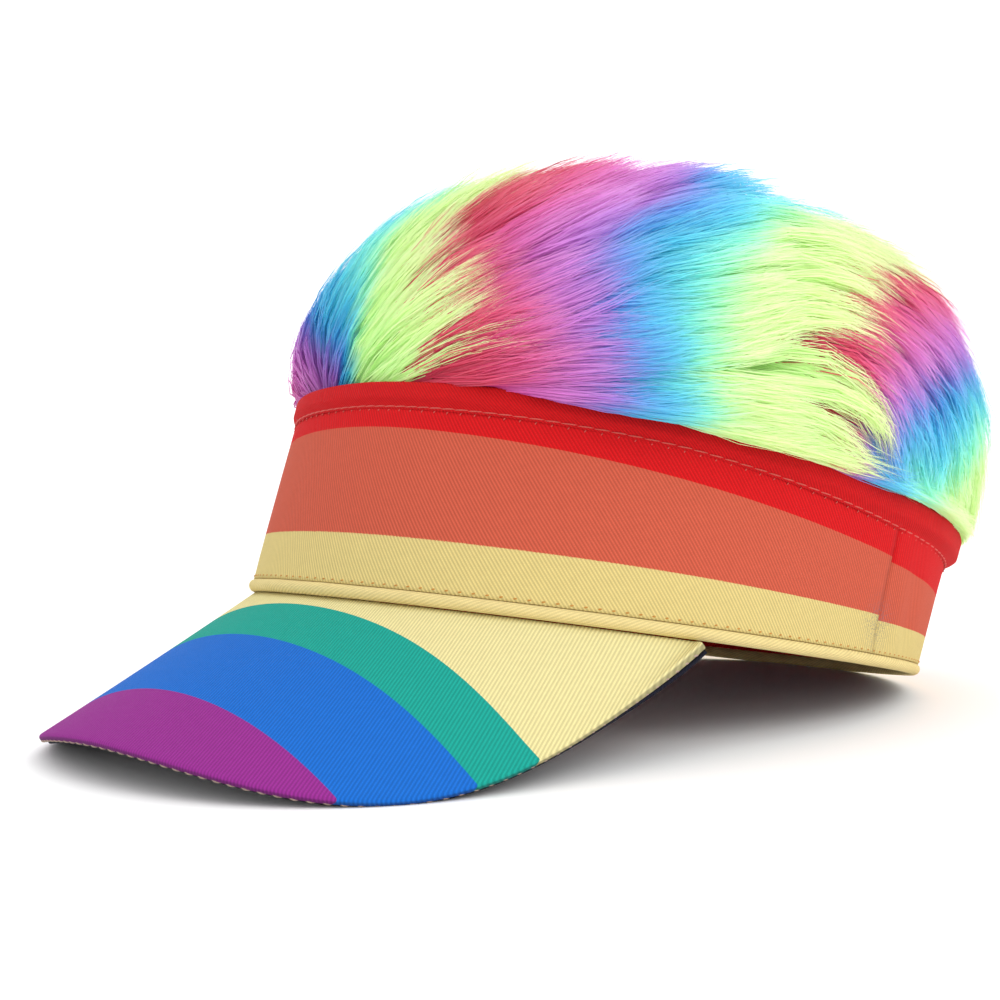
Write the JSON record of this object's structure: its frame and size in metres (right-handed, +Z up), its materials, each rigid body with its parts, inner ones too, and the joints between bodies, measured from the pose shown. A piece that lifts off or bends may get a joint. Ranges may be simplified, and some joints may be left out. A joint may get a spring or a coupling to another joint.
{
  "type": "cap with attached faux-fur wig",
  "caption": "Visor cap with a curved peak, striped twill head band and a swept-back crown of long rainbow-dyed faux fur.",
  "frame": {"origin": "centre of the bounding box in x and y, at the surface the cap rests on", "axes": "+Z up, the peak points along -Y, +X is the wearer's left"},
  "size_m": [0.1928, 0.2792, 0.1497],
  "materials": {
    "band_twill": "matt printed cotton twill",
    "tape_twill": "matt printed cotton twill",
    "roll_twill": "matt printed cotton twill",
    "peak_twill": "matt printed cotton twill",
    "underside_cloth": "matt dark twill",
    "backing_knit": "matt knit backing cloth",
    "faux_fur": "glossy dyed acrylic pile"
  },
  "bodies": {
    "root": {"front_panel": "band_twill", "back_panel": "band_twill", "upper_tape": "tape_twill", "lower_roll": "roll_twill", "peak_cover": "peak_twill", "peak_underside": "underside_cloth", "crown_backing": "backing_knit", "fur_locks": "faux_fur"}
  },
  "joints": []
}
